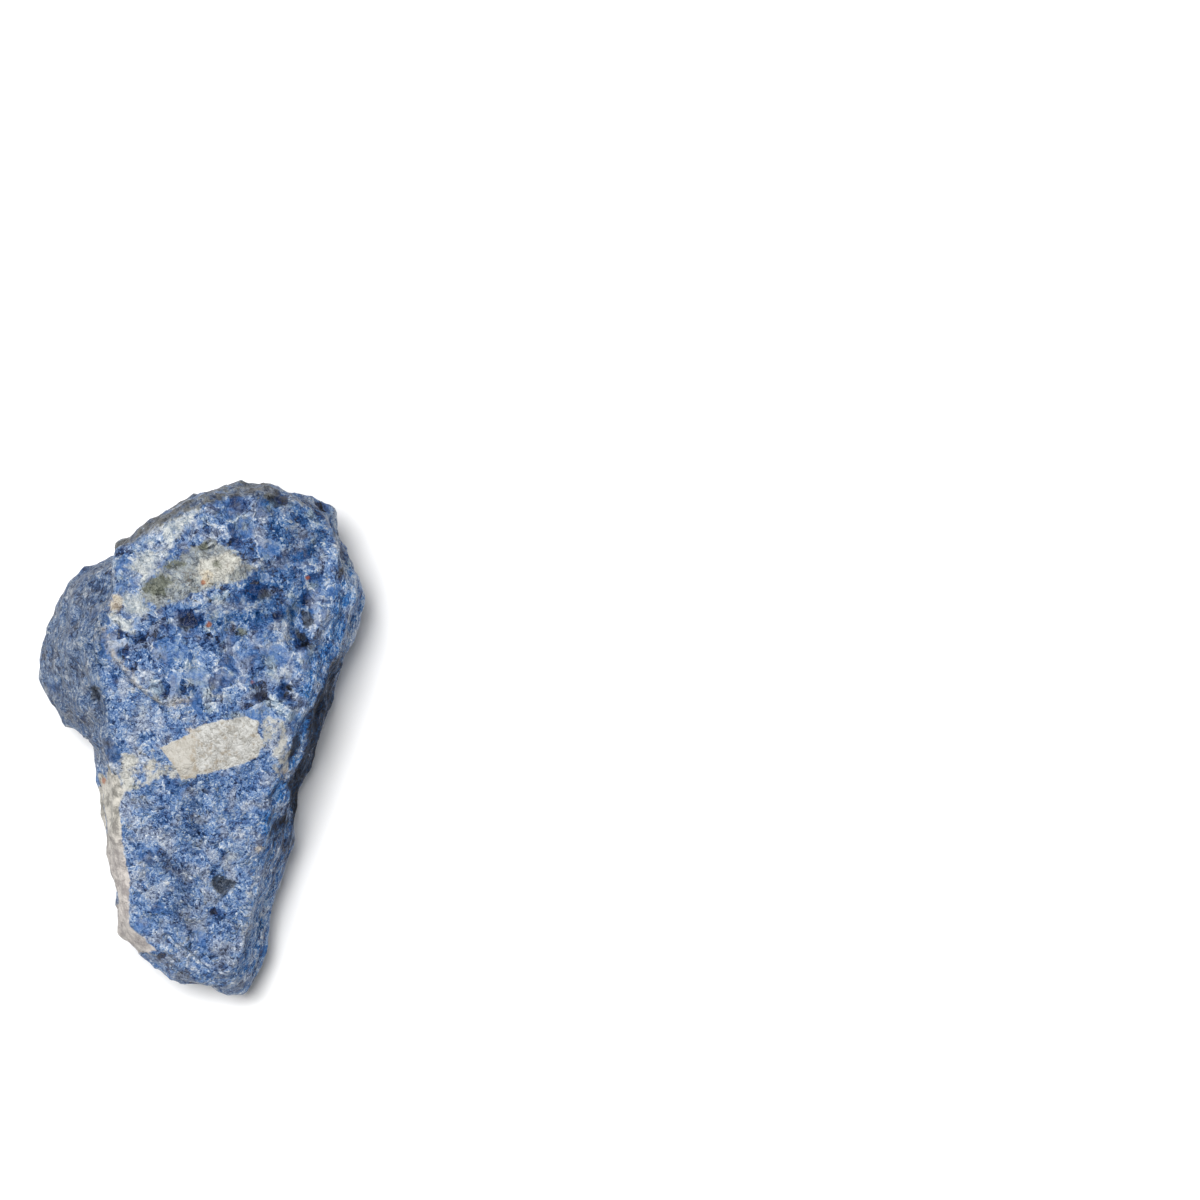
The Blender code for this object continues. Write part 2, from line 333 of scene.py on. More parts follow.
# The feldspar across the middle, the cleaner block at its left end, and the ragged tails at both ends.
VEIN = [
    (-6, -1.2), (-1.5, 0.8), (-0.9, 1.8), (2.9, 2.7), (6, 3.2), (8, 2.5), (7.7, 1), (8.6, -0.4),
    (7.7, -2.5), (6, -3.3), (3.6, -4), (-0.6, -5), (-1, -5.4), (-2.9, -5.7), (-4, -3.5),
]
VEIN_BLOCK = [(-6, -1.2), (-1.5, 0.8), (-0.9, 1.6), (-0.8, -5.3), (-2.9, -5.7), (-4, -3.5)]
VEIN_TAILS = [
    [(-11.3, -2.2), (-9, -1.7), (-6.1, -1.5), (-4, -3.6), (-2.9, -5.4), (-6.1, -5.6), (-8.6, -6.4),
     (-10.2, -7.5), (-11.5, -6.1), (-11.4, -4.2)],
    [(8.4, 3.8), (11.6, 2.4), (12.3, -1.2), (11.8, -5.4), (10.6, -5.4), (9.5, -2.2), (8, -0.8)],
]
# An olive and milky lens near the top, and the pale rim that runs past it along the cap's upper left.
LENS = [
    (-8.3, 20.7), (-6.6, 22.6), (-4.1, 24.9), (-1.6, 26.8), (1.3, 28.1), (4.2, 26.4), (7.3, 23.7),
    (5.5, 22.3), (0.4, 21), (-3.2, 19.7), (-6, 18.4), (-8, 19.4),
]
PALE_RIM = [
    (-12.6, 15.4), (-12.9, 19.8), (-10.9, 23.4), (-8.4, 27), (-4.7, 30.6), (-1, 32.4), (1, 31.6),
    (-2.6, 28.6), (-5.4, 26), (-7.6, 22.4), (-7.9, 18.1), (-9.6, 14.6),
]
# Two darker stretches of the cap.
DUSK = [
    [(7.6, 34.6), (13, 34), (16.8, 33), (17.4, 28), (16.2, 24.4), (12.4, 24.6), (8.8, 27.4)],
    [(6, 24.5), (12, 25), (15, 23.5), (14.6, 18), (12, 15), (8, 16.5), (0, 15.5), (-3.5, 17), (0, 19),
     (5.5, 20.5)],
]
# The pinkish feldspar down the left of the narrow end.
RIND = [
    (-22, -4.3), (-11.9, -5), (-10.9, -7.4), (-11.6, -9.6), (-11.3, -14.1), (-10.1, -19.7),
    (-10.2, -22.9), (-10.2, -26.1), (-8.2, -27.7), (-6.4, -29.6), (-9.8, -29.4), (-14.7, -32.3),
    (-22, -27),
]
# Lines: the ledge under the cap and its foot, the crack at the toe, and what runs down the narrow end.
LEDGE = [(-13.8, 15.2), (-12.8, 12.3), (-10.6, 9.7), (-8.6, 7.2), (-6.1, 5.2), (-4.1, 4.9), (-1.9, 5.4)]
LEDGE_FOOT = [(x - 0.5, y - 0.5) for x, y in LEDGE]  # just below it
TOE_CRACK = [(-4.9, -27.7), (-3.1, -29.2), (-0.9, -31), (0.9, -32.8)]
LOWER_GROOVE = [(-1.2, -5.5), (-0.9, -9), (-1.2, -15.5)]
LOWER_RIDGE = [(-1, -18.3), (-1.3, -20.5), (-1.05, -22.6), (-1.3, -25.4)]
PEPPERED = [(-5.4, -17.2), (-2.6, -18.6), (-3, -25.6)]
# The two long sides, out past where the stone ends.
LEFT_FLANK = [
    (-11.7, 27.5), (-12.7, 17.7), (-14.5, 13.9), (-14.3, 9.7), (-13.3, 5.5), (-12.7, 1.2),
    (-11.6, -3), (-30, -5), (-30, 27),
]
RIGHT_SIDE = [
    (21, 27), (18.2, 18.1), (15.8, 13), (15.1, 10.6), (13.7, 5.5), (12.3, -1.5), (9.1, -7.3),
    (8.3, -12.3), (6.7, -25.2), (6.5, -29.2), (4.1, -33), (30, -34), (30, 27),
]
# The weathered crust along the top.
WEATHERED_EDGE = [(-11.7, 28.2), (-8.6, 30), (-3.2, 33), (3.9, 35.4), (9.2, 34.9)]

# %% [markdown]
# A zone is a number from 0 to 1 that eases over a border of a millimetre or two. The cap, the flank and
# the bevel come from the map alone. The sides and the wall also depend on the way the faces look. The
# wall is where they turn away from the light, and its near black is partly a darker navy and partly
# painted shade.

# %% Zones
# The wall under the bevel faces right and a little down, away from the lamps. Its near black is partly a
# darker navy of the stone and partly painted shade.
NAVY_AND_PAINTED_SHADE_WALL_LOOKS = np.array([0.9, -0.43, 0])  # which way the dark wall faces: right, and a little nearer

cap = ease(-1.2, 1.2, inside(CAP)) * (1 - underside)
flank = ease(-0.8, 0.8, inside(LEFT_FLANK))
bevel = ease(-0.8, 0.8, inside(RIGHT_SIDE))
wall = ease(0.76, 0.95, broad_normals @ NAVY_AND_PAINTED_SHADE_WALL_LOOKS) * ease(-0.35, 0.1, looks_up)
wall *= ease(20, 5, map_y) * ease(-26, -8, map_y)  # it fades out towards both ends of the stone
sides = np.maximum(np.maximum(flank, bevel), ease(0.6, 0.3, looks_up))
dusk = ease(-1.2, 0.8, np.maximum(*(inside(part) for part in DUSK))) * (1 - underside)
print("cap, share of points: %.2f" % cap.mean())

# %% [markdown]
# Single grains and stains that catch the eye are ovals on the map, listed by colour. Each row is x, y,
# width, height and turn, in millimetres and degrees. They only set where a colour gathers: noise breaks
# up their rims.

# %% Grains and stains, by colour
NAVY = [
    (7.9, 20.6, 3.6, 3.4, -30), (-1.9, 17, 4.6, 2.9, -8), (8.4, 5.9, 2.3, 2.2, 0),
    (11.5, 6.5, 3.4, 2.1, -35), (13.7, 14.2, 1.6, 4.2, 28), (10.9, 33.8, 3.4, 3.1, 0),
    (16.7, 32.4, 3.1, 2.2, 15), (-11.7, 14.9, 2.1, 1.4, 0), (-11.3, 12.2, 2.4, 2.1, 0),
    (4.6, 27.6, 2.8, 1.5, 10), (-12.2, 8.2, 1.4, 1.3, 0), (5.1, 33, 3.1, 2.5, 0),
    (10.8, 17.3, 1.3, 2.6, -25), (3, -16.1, 1.2, 1, 0), (1.8, -24.2, 1.7, 1.5, 0),
    (-5.6, -30.3, 1.1, 0.9, 0), (14.7, 19.5, 1.5, 2.3, 20), (-16.8, 2.7, 1.4, 0.9, -40),
]
# Black: dark grains, and pits whose shade is painted in.
BLACK_GRAINS_AND_PIT_SHADE = [
    (3.1, -20.4, 3.5, 2.5, -20), (-15, 6.4, 1.2, 2.3, 0), (14.7, 17.1, 1.6, 3.6, 40),
    (14.2, 13.9, 1, 3.6, 28), (12.1, 6.6, 1.8, 1.2, -35),
]
ROYAL = [
    (-5.2, 6.9, 3.1, 2.5, -35), (-3.3, 8.4, 2.2, 1.9, 0), (12.6, 17.3, 2.5, 2.6, 0),
    (4.2, 12.9, 1.9, 4.9, 18), (6.7, 11.6, 1.9, 4.8, -28), (17.4, 31.8, 1.8, 1.4, 0),
    (14.2, 4.8, 1.2, 1.5, -20), (-2.4, 26.7, 2.2, 1.8, 0), (5.3, 19.5, 1.4, 3.2, 10),
    (-8.4, 17.6, 1.7, 1.8, 0), (-8.8, -26.3, 2.4, 2.7, 20), (-7.5, -15.8, 3, 3.3, 0),
    (1.8, 32.3, 1.8, 1.4, 0), (-20.7, 7.2, 1.8, 3.2, 0), (-4.5, 12.2, 5.4, 3.7, 0),
    (13.5, 8, 1.2, 1.2, 0),
]
OLIVE = [
    (-6, 21.5, 4.2, 2.5, 8), (-3.5, 24.7, 2.6, 1.2, -10), (0.4, 27.2, 1.8, 1.2, 10),
    (2, 24.3, 1.4, 1.1, 0), (5.6, 15, 1.4, 1.1, 0), (-9.5, -6.5, 1.6, 1.1, 10),
    (-4.6, 24.3, 1.6, 1, 30),
]
BEIGE = [
    (-11.9, 19.1, 1.5, 2.9, 0), (0.6, 22.6, 1.5, 2.1, 0), (-7.4, -4, 1.4, 0.9, 0),
    (7.8, -15.4, 0.5, 1.2, 0), (-1.2, 1.2, 1.8, 0.8, 15), (11.6, -4.4, 0.9, 1.2, 0),
    (0.8, 1.4, 1.5, 0.9, 10), (5.3, 0, 1, 0.9, 0), (3, 2, 1.2, 0.6, 0), (-2.1, -3.8, 1.2, 2.4, 20),
]
RUST = [
    (1, 16, 0.6, 0.7, 0), (7, 8, 0.7, 0.5, 0), (14.8, 22.6, 0.7, 0.7, 0), (-13.8, -5.8, 0.6, 1.2, 0),
    (0.2, 21.9, 0.7, 0.6, 0),
]
MILKY = [(2.6, 24.2, 6.4, 3.6, 6), (-10.4, -3.3, 2.4, 2.4, 0), (-10.2, -6, 2.6, 2.4, 8)]
HAZE = [
    (4.5, -16.2, 2.2, 2.4, 0), (-8.2, 4.6, 3, 2, 40), (11.3, 8.8, 3.4, 2.2, 20),
    (1.8, 5.8, 4.6, 1.6, 10),
]
print("marks:", sum(map(len, (NAVY, BLACK_GRAINS_AND_PIT_SHADE, ROYAL, OLIVE, BEIGE, RUST, MILKY, HAZE))))

# %% [markdown]
# Every mark, large or small, is kept as a field: how far inside it each point is. Lines and grooves are
# strips of a given half width.

# %% Fields of the marks
navy, black, royal, olive = (on_top(in_shards(table)) for table in (NAVY, BLACK_GRAINS_AND_PIT_SHADE, ROYAL, OLIVE))
beige, rust, milky, haze = (on_top(in_shards(table)) for table in (BEIGE, RUST, MILKY, HAZE))
outlines = (VEIN, VEIN_BLOCK, LENS, PALE_RIM)
vein, block, lens, pale_rim = (on_top(inside(outline)) for outline in outlines)
tails = on_top(np.maximum(*(inside(tail) for tail in VEIN_TAILS)))
ledge, ledge_foot = on_top(beside(LEDGE, 0.4)), on_top(beside(LEDGE_FOOT, 0.6))
pale_line = on_top(np.maximum(beside(TOE_CRACK, 0.25), beside(LOWER_RIDGE, 0.04)))
groove = on_top(np.maximum(beside(LOWER_GROOVE, 0.9), beside(PEPPERED, 1.4)))
print("share of points in the feldspar: %.3f" % (vein > 0).mean())

# %% [markdown]
# ## Broken grains
#
# Where the hammer's crack runs through the stone it cuts each grain at its own slant and leaves a
# shallow scoop. Chips could be cut one by one, but there are thousands. Here a lattice of random
# centres stands for the grains, and the surface is the lowest of the bowls around them. That gives flat
# scoops that meet in sharp seams.

# %% A mosaic of bowls
LATTICE = 32  # the random numbers repeat after this many cells, more than the stone is long
ASKEW = np.linalg.qr(np.random.default_rng(3).normal(size=(3, 3)))[0]  # turns the lattice askew


def broken_grains(places, size, slant, seed):
    """The height of the lowest bowl at each place, in sizes, about zero.

    Space is cut into cubes of the size given, each with one grain's centre at random. A grain's bowl is
    the squared distance from the centre plus a random slope times the distance, all in sizes.
    """
    draw = np.random.default_rng(seed)
    centres = draw.uniform(0.1, 0.9, (LATTICE,) * 3 + (3,))
    slopes = draw.uniform(-slant, slant, (LATTICE,) * 3 + (3,))
    place = places @ ASKEW / size
    cell = np.floor(place).astype(int)
    lowest = np.full(len(places), np.inf)
    for step in itertools.product((-1, 0, 1), repeat=3):
        key = tuple(((cell + step) % LATTICE).T)
        away = place - cell - step - centres[key]
        lowest = np.minimum(lowest, (away * (away + slopes[key])).sum(axis=1))
    return lowest - lowest.mean()


COARSE, MEDIUM, FLUTED = 3.2, 1.25, 1.7  # millimetres across a bowl
LENGTHWISE = np.array([-0.15, -0.98, 0.1])  # along the stone's sides, from the broad end to the toe
SQUEEZE = 0.75  # of the length that way is taken away, which draws the bowls on the sides out into flutes

squeezed = points - SQUEEZE * (points @ LENGTHWISE)[:, None] * LENGTHWISE
coarse_bowl = broken_grains(points, COARSE, 0.75, 5)
medium_bowl = broken_grains(points, MEDIUM, 0.8, 6)
fluted_bowl = broken_grains(squeezed, FLUTED, 0.8, 7)
print("coarse bowls from %.2f to %.2f sizes" % (coarse_bowl.min(), coarse_bowl.max()))

# %% [markdown]
# The pink rind and the weathered crust wrap over an edge and down a side, where the map sees nothing.
# Bowls of the size of a fingernail decide how far down they reach, so that their borders are as ragged
# as where a crust has chipped. The wall's near black, partly dark glass and partly painted shade, is
# broken up by chips in the same way.

# %% Crusts that wrap round the sides
BIG_CHIP, SMALL_CHIP, CHIP_SLANT = 7.0, 2.6, 0.8  # millimetres, and slant as for grains
RIND_CHIPPED, CRUST_CHIPPED = 7, 5  # millimetres that a rim gives way for each size of a chip's height

chipping = broken_grains(points, BIG_CHIP, CHIP_SLANT, 8)
chipping += 0.5 * broken_grains(points, SMALL_CHIP, CHIP_SLANT, 9)
down_the_side = ease(0.45, 0.0, looks_up)
rind = inside(RIND) - RIND_CHIPPED * chipping * down_the_side
rind -= FAR_OUT * ease(-0.35, -0.75, looks_up)
weathered = beside(WEATHERED_EDGE, 1.4) - (0.3 + CRUST_CHIPPED * chipping) * down_the_side
weathered -= FAR_OUT * underside
rind, weathered = (np.clip(crust, -DEEPEST, DEEPEST) for crust in (rind, weathered))
wall *= 1 - 1.5 * np.clip(chipping, -0.2, 0.5) * ease(0.4, 0.1, looks_up)
print("chipping: %.2f to %.2f" % (chipping.min(), chipping.max()))

# %% [markdown]
# ## The fine relief
#
# Points move along the smoothed normals by the sum of all the reliefs: deep bowls on the cap and
# shallow ones on the fine-grained faces, pits where dark grains have broken out, a step down at the
# foot of the ledge, a groove along the toe crack. Feldspar breaks smoother than sodalite. The flat spot
# that the stone rests on stays flat, because what touches the table is worn flat.

# %% Push the grains into the skin
COARSE_DEPTH, MEDIUM_DEPTH, FLUTE_DEPTH = 1.2, 0.34, 0.6  # millimetres per size of bowl
FELDSPAR_FLATNESS = 0.6
OFF_THE_CAP = 0.35  # how deep the coarse bowls are elsewhere, of their depth on the cap

rough = 1 - FELDSPAR_FLATNESS * np.maximum(ease(-0.3, 0.5, vein), ease(-0.3, 0.5, rind))
relief = COARSE_DEPTH * coarse_bowl * (OFF_THE_CAP + (1 - OFF_THE_CAP) * cap) * rough
relief += (MEDIUM_DEPTH * medium_bowl * (1 - sides) + FLUTE_DEPTH * fluted_bowl * sides) * rough
steps = [  # a mark, how far inside it the step begins and is whole, and how far it rises, in mm
    (black, 0, 0.7, -0.35), (navy, 0, 0.8, -0.25), (ledge_foot, -0.3, 0.6, -0.6),
    (vein, -0.2, 0.4, 0.15), (ledge, -0.3, 0.4, 0.25), (pale_line, -0.2, 0.2, -0.3),
]
for field, begins, whole, rise in steps:
    relief += rise * ease(begins, whole, field)
off_the_table = ease(0.05, 0.9, points[:, 2])
skin_points = points + broad_normals * (relief * off_the_table)[:, None]
skin_points[:, 2] = np.maximum(skin_points[:, 2], 0)
write_points(mesh, skin_points / 1000)
mesh.shade_smooth()
print("relief, mm: %.2f to %.2f" % (relief.min(), relief.max()))

# %% [markdown]
# Edges that stand out have been knocked and rubbed, which turns sodalite pale. A point stands out when
# it lies above the mean of its neighbourhood, and that is measured against the skin smoothed flat.

# %% Wear on standing edges
FLATTENING_ROUNDS = 35

flattened = spread(skin_points, FLATTENING_ROUNDS)
standing_out = ((skin_points - flattened) * broad_normals).sum(axis=1)
wear = ease(0.05, 0.3, standing_out)
print("standing out, mm: %.2f to %.2f" % (standing_out.min(), standing_out.max()))

# %% [markdown]
# ## Numbers for the material
#
# Each field is stored in the mesh as an attribute, one number to a point. The material reads it by
# name. The wall's field runs from 0 to 1, so it is lowered to cross zero at the rim as the marks'
# fields do.

# %% Attributes
NAVY_AND_PAINTED_SHADE_WALL_RIM = 0.6


def store(**fields):
    """Each field as an attribute of the mesh, under its own name."""
    for name, values in fields.items():
        attribute = mesh.attributes.new(name, "FLOAT", "POINT")
        attribute.data.foreach_set("value", values.astype(np.float32))


store(navy=navy, black=black, royal=royal, olive=olive, beige=beige, rust=rust, milky=milky, haze=haze)
store(vein=vein, block=block, tails=tails, lens=lens, pale_rim=pale_rim, rind=rind)
store(ledge=ledge, pale_line=pale_line, groove=groove, weathered=weathered)
store(
    cap=cap, flank=flank, bevel=bevel, wall=wall - NAVY_AND_PAINTED_SHADE_WALL_RIM, sides=sides, dusk=dusk, under=underside,
    wear=wear)
print("attributes:", len(mesh.attributes))

# %% [markdown]
# ## Writing materials as sums
#
# A procedural material is a long calculation. Wired by hand in the shader editor it is hard to read, so
# a small helper class writes it as calls: values or sockets go in, and a socket comes out.

# %% A sheet of nodes


class Sheet:
    """A node tree that is filled in by calls."""

    def __init__(self, tree):
        self.tree = tree

    def node(self, kind, sockets, output=0, **settings):
        """A new node with these sockets set or linked. Returns one of its outputs."""
        made = self.tree.nodes.new("ShaderNode" + kind)
        for name, value in settings.items():
            setattr(made, name, value)
        for name, value in sockets.items():
            if isinstance(value, bpy.types.NodeSocket):
                self.tree.links.new(value, made.inputs[name])
            else:
                made.inputs[name].default_value = value
        return made.outputs[output]

    def number(self, operation, *values):
        """ADD, MULTIPLY, MAXIMUM and so on of numbers."""
        return self.node("Math", dict(enumerate(values)), operation=operation)

    def vector(self, operation, first, second=(0, 0, 0)):
        """The same of vectors. SCALE takes a number second."""
        second_socket = 3 if operation == "SCALE" else 1
        return self.node("VectorMath", {0: first, second_socket: second}, operation=operation)

    def blend(self, share, bottom, top):
        """A colour between bottom and top, from 0 to 1."""
        return self.node("Mix", {0: share, 6: bottom, 7: top}, 2, data_type="RGBA")

    def ease(self, value, low, high, least=0.0, most=1.0):
        """An S curve from least below low to most above high."""
        sockets = {"Value": value, "From Min": low, "From Max": high, "To Min": least, "To Max": most}
        return self.node("MapRange", sockets, interpolation_type="SMOOTHSTEP")

    def noise(self, place, size, detail=2.0, rough=0.5, output=0):
        """Cloudy noise with lumps of this size in mm, around 0.5."""
        sockets = {"Vector": place, "Scale": 1 / size, "Detail": detail, "Roughness": rough}
        return self.node("TexNoise", sockets, output)

    def field(self, name):
        """A number stored in the mesh."""
        return self.node("Attribute", {}, 2, attribute_name=name)


def paint(code):
    """A colour written as six hexadecimal digits, as the shader wants it: linear light."""
    parts = [int(code[i:i + 2], 16) / 255 for i in (1, 3, 5)]
    return [part / 12.92 if part <= 0.04045 else ((part + 0.055) / 1.055) ** 2.4 for part in parts] + [1]


print("sodalite blue in linear light:", [round(part, 3) for part in paint("#34549a")[:3]])

# %% [markdown]
# ## Effects with a name
#
# Three effects are needed over and over in different sizes, so each is a node group. The mosaic makes
# grains finer than the mesh can hold. The wisps are thin crooked lines, where a milky mineral has
# healed old cracks. The stretched space turns round grains into splinters that lie one way, as they do
# on a broken cleavage face.

# %% Node groups


def new_group(name, inputs, outputs):
    """An empty group with these sockets, its sheet, and its input sockets by name."""
    tree = bpy.data.node_groups.new(name, "ShaderNodeTree")
    for label, kind in inputs.items():
        tree.interface.new_socket(label, in_out="INPUT", socket_type="NodeSocket" + kind)
    for label, kind in outputs.items():
        tree.interface.new_socket(label, in_out="OUTPUT", socket_type="NodeSocket" + kind)
    entry, exit_node = tree.nodes.new("NodeGroupInput"), tree.nodes.new("NodeGroupOutput")
    return tree, Sheet(tree), entry.outputs, exit_node.inputs


def mosaic_group():
    """Grains of one size, each with two random numbers, the way to its seam, a lean and the way across."""
    tree, sheet, given, made = new_group(
        "grain_mosaic", {"Position": "Vector", "Size": "Float"},
        {"Tone": "Float", "Shade": "Float", "Seam": "Float", "Lean": "Vector", "Across": "Float"})
    per_mm = sheet.number("DIVIDE", 1.0, given["Size"])
    cells = {"Vector": given["Position"], "Scale": per_mm}
    colour = sheet.node("TexVoronoi", cells, "Color")
    edge = sheet.node("TexVoronoi", cells, "Distance", feature="DISTANCE_TO_EDGE")
    lean = sheet.vector("SUBTRACT", colour, (0.5, 0.5, 0.5))
    from_centre = sheet.vector("SUBTRACT", given["Position"], colour.node.outputs["Position"])
    across = sheet.node("VectorMath", {0: from_centre, 1: lean}, "Value", operation="DOT_PRODUCT")
    tree.links.new(sheet.node("SeparateColor", {0: colour}), made["Tone"])
    tree.links.new(sheet.node("SeparateColor", {0: colour}, 1), made["Shade"])
    tree.links.new(sheet.number("MULTIPLY", edge, given["Size"]), made["Seam"])
    tree.links.new(lean, made["Lean"])
    tree.links.new(sheet.number("MULTIPLY", across, per_mm), made["Across"])
    return tree


def wisps_group():
    """Crooked lines: where one noise crosses its middle, and a broader noise is high."""
    tree, sheet, given, made = new_group(
        "healed_wisps", {"Position": "Vector", "Size": "Float", "Share": "Float"}, {"Mask": "Float"})
    per_mm = sheet.number("DIVIDE", 1.0, given["Size"])
    wander = sheet.node("TexNoise", {"Vector": given["Position"], "Scale": per_mm, "Detail": 2.0})
    line = sheet.ease(sheet.number("ABSOLUTE", sheet.number("SUBTRACT", wander, 0.5)), 0.0, 0.04, 1.0, 0.0)
    elsewhere = sheet.vector("ADD", given["Position"], (31.0, 17.0, 5.0))
    broader = sheet.number("MULTIPLY", per_mm, 0.8)
    patches = sheet.node("TexNoise", {"Vector": elsewhere, "Scale": broader, "Detail": 2.0})
    kept = sheet.ease(sheet.number("ADD", patches, given["Share"]), 0.95, 1.15)
    tree.links.new(sheet.number("MULTIPLY", line, kept), made["Mask"])
    return tree


def stretched_group():
    """The position pressed together along one direction, so that what is drawn in it comes out longer."""
    tree, sheet, given, made = new_group(
        "stretched_space", {"Position": "Vector", "Direction": "Vector", "Squeeze": "Float"},
        {"Position": "Vector"})
    direction = sheet.vector("NORMALIZE", given["Direction"])
    along = sheet.node("VectorMath", {0: given["Position"], 1: direction}, "Value", operation="DOT_PRODUCT")
    taken = sheet.vector("SCALE", direction, sheet.number("MULTIPLY", along, given["Squeeze"]))
    tree.links.new(sheet.vector("SUBTRACT", given["Position"], taken), made["Position"])
    return tree


mosaic, wisps, stretched = mosaic_group(), wisps_group(), stretched_group()

# %% [markdown]
# ## The sodalite
#
# The blue comes from one number, the tone, which a colour ramp turns into navy, royal blue, grey-blue
# or near white. The tone is a sum: the grain's own number at four sizes, a slow drift over the stone,
# dust-fine noise, pale seams and wisps. Then each mark is laid over it with a frayed rim. A picture
# wrapped round the stone would blur up close and stretch on the sides, and this does neither.

# %% The sheet and its usual sums
stone = bpy.data.materials.new("sodalite")
stone.use_nodes = True
stone.node_tree.nodes.clear()
sheet = Sheet(stone.node_tree)


def grouped(tree, wanted, **given):
    """One placing of a node group, with these inputs. Returns the outputs wanted."""
    placed = sheet.node("Group", given, node_tree=tree).node
    return [placed.outputs[label] for label in wanted.split()]


def add_up(*terms):
    """The sum of some numbers."""
    total = terms[0]
    for term in terms[1:]:
        total = sheet.number("ADD", total, term)
    return total


def swing(value, amount):
    """A number from 0 to 1 as a swing about zero of this size."""
    return sheet.node("Math", {0: value, 1: amount, 2: -amount / 2}, operation="MULTIPLY_ADD")


def times(value, factor):
    """Two numbers multiplied. With two masks that is where both are."""
    return sheet.number("MULTIPLY", value, factor)


def either(first, second):
    """The higher of two numbers. With two masks that is where either is."""
    return sheet.number("MAXIMUM", first, second)


def scaled(value, by, at_zero, at_one):
    """The value times a factor that eases from at_zero to at_one as a mask goes from 0 to 1."""
    return times(value, sheet.ease(by, 0.0, 1.0, at_zero, at_one))


def extremes(value, share, amount):
    """Plus amount for the highest share of the numbers from 0 to 1, minus it for the lowest, else zero."""
    high = sheet.ease(value, 1 - share, 1 - share * 0.5, 0.0, amount)
    return sheet.number("ADD", high, sheet.ease(value, share, share * 0.5, 0.0, -amount))


# %% [markdown]
# The grains come in four sizes. Shards and broad grains are the cells of a mosaic, bent out of shape by
# noise, because cells with straight sides look cut. Splinters all lie one way inside a broad grain, and
# chips inside a splinter, as they do along the cleavage of a broken crystal.

# %% Grains of four sizes
SHARD, BROAD, SPLINTER, CHIP = 3.1, 1.35, 0.5, 0.27  # millimetres
SWIRL_REACH, QUIVER_REACH = 2.2, 0.8  # how far the noise pushes, in mm

place = sheet.vector("SCALE", sheet.node("TexCoord", {}, "Object"), 1000.0)
swirl = sheet.vector("SUBTRACT", sheet.noise(place, 3.0, detail=1, output=1), (0.5, 0.5, 0.5))
quiver = sheet.vector("SUBTRACT", sheet.noise(place, 0.9, detail=2, output=1), (0.5, 0.5, 0.5))
curved = sheet.vector("ADD", place, sheet.vector("SCALE", swirl, SWIRL_REACH))
crooked = sheet.vector("ADD", curved, sheet.vector("SCALE", quiver, QUIVER_REACH))
tone_shard, shade_shard, seam_shard, lean_shard, across_shard = grouped(
    mosaic, "Tone Shade Seam Lean Across", Position=crooked, Size=SHARD)
tone_broad, seam_broad, lean_broad, across_broad = grouped(
    mosaic, "Tone Seam Lean Across", Position=crooked, Size=BROAD)
(splinter_place,) = grouped(stretched, "Position", Position=place, Direction=lean_broad, Squeeze=0.6)
tone_splinter, seam_splinter, lean_splinter = grouped(
    mosaic, "Tone Seam Lean", Position=splinter_place, Size=SPLINTER)
(chip_place,) = grouped(stretched, "Position", Position=place, Direction=lean_splinter, Squeeze=0.45)
tone_chip, lean_chip = grouped(mosaic, "Tone Lean", Position=chip_place, Size=CHIP)
print("nodes so far:", len(sheet.tree.nodes))

# %% [markdown]
# The rest is noise: streaks along the sides, dust, clouds, a slow drift over the whole stone, and
# patches that thin the marks out. The wisps come long and short.

# %% Streaks, clouds and wisps


def patches(size, low, high, rough=0.6, shift=(0, 0, 0)):
    """Ragged patches where cloudy noise of this size in mm is high. A shift makes them unlike others."""
    where = sheet.vector("ADD", place, shift) if any(shift) else place
    return sheet.ease(sheet.noise(where, size, detail=4, rough=rough), low, high)


(side_place,) = grouped(stretched, "Position", Position=curved, Direction=LENGTHWISE, Squeeze=SQUEEZE)
streaks = sheet.noise(side_place, 0.4, detail=3, rough=0.6)
dust = sheet.noise(place, 0.2, detail=2, rough=0.6)
clouds = sheet.noise(crooked, 1.3, detail=5, rough=0.78)
drift = sheet.noise(place, 6.0, detail=3, rough=0.55)
patchy = patches(1.6, 0.4, 0.58, rough=0.65)
(long_wisps,) = grouped(wisps, "Mask", Position=crooked, Size=2.4, Share=0.45)
(short_wisps,) = grouped(wisps, "Mask", Position=crooked, Size=0.8, Share=0.45)

# %% [markdown]
# Noise added to a mark's field before it is cut at zero frays its rim, by up to about a millimetre.

# %% Frayed marks
fray_noise = swing(sheet.noise(place, 0.9, detail=3, rough=0.6), 2.0)


def mark(name, softness=0.25, fray=1.0):
    """Where a field is above zero, with its rim frayed by noise."""
    frayed = sheet.node("Math", {0: fray_noise, 1: fray, 2: sheet.field(name)}, operation="MULTIPLY_ADD")
    return sheet.ease(frayed, -softness, softness)


on_cap, on_sides = sheet.ease(sheet.field("cap"), 0.2, 0.8), sheet.field("sides")
is_navy, is_black, is_royal = mark("navy", 0.25, 0.9), mark("black", 0.25, 1.1), mark("royal", 0.35, 0.9)
is_rim, is_lens, is_tail = mark("pale_rim", 0.9, 1.8), mark("lens", 0.4, 1.4), mark("tails", 0.3, 1.0)
is_haze, is_milky, is_olive = mark("haze", 0.8, 1.5), mark("milky", 0.4, 1.2), mark("olive", 0.35, 1.0)
is_beige, is_rust, is_weathered = mark("beige", 0.4), mark("rust", 0.15, 0.4), mark("weathered", 0.4)
is_vein, is_block, is_rind = mark("vein", 0.12, 0.4), mark("block", 0.1, 0.15), mark("rind", 0.15, 0.4)
is_ledge, is_line = mark("ledge", 0.45, 1.1), mark("pale_line", 0.15, 0.2)
